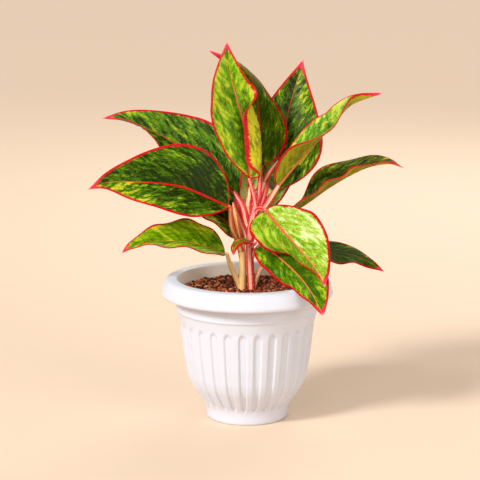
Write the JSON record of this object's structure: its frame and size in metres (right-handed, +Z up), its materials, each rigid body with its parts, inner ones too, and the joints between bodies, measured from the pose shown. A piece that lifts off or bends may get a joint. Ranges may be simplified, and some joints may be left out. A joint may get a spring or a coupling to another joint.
{
  "type": "potted chinese evergreen",
  "caption": "Potted chinese evergreen: broad mottled green leaves with crimson margins on short pink shoots, in a white fluted plastic pot with a rolled rim.",
  "frame": {"origin": "centre of the pot's flat underside", "axes": "+Z up along the pot's axis, -Y towards the front of the plant, +X to the right seen from the front"},
  "size_m": [0.2753, 0.1597, 0.3351],
  "materials": {
    "pot_plastic": "satin",
    "soil": "matt, crumbly",
    "stem": "satin, pink to tan",
    "leaf": "satin, mottled green with crimson margins",
    "young_leaf": "satin, cream with red edges"
  },
  "bodies": {
    "root": {"pot": "pot_plastic", "soil": "soil", "shoot_left": "stem", "shoot_right": "stem", "leaf_left_upper": "leaf", "leaf_left_broad": "leaf", "leaf_left_lower": "leaf", "leaf_left_inner": "leaf", "leaf_top_folded": "leaf", "leaf_top_rear": "leaf", "leaf_top_right": "leaf", "leaf_right_arched": "leaf", "leaf_right_long": "leaf", "leaf_front_broad": "leaf", "leaf_front_low": "leaf", "leaf_right_low": "leaf", "leaf_small": "leaf", "leaf_rear_left": "leaf", "leaf_rear_right": "leaf", "leaf_rolled": "young_leaf"}
  },
  "joints": []
}
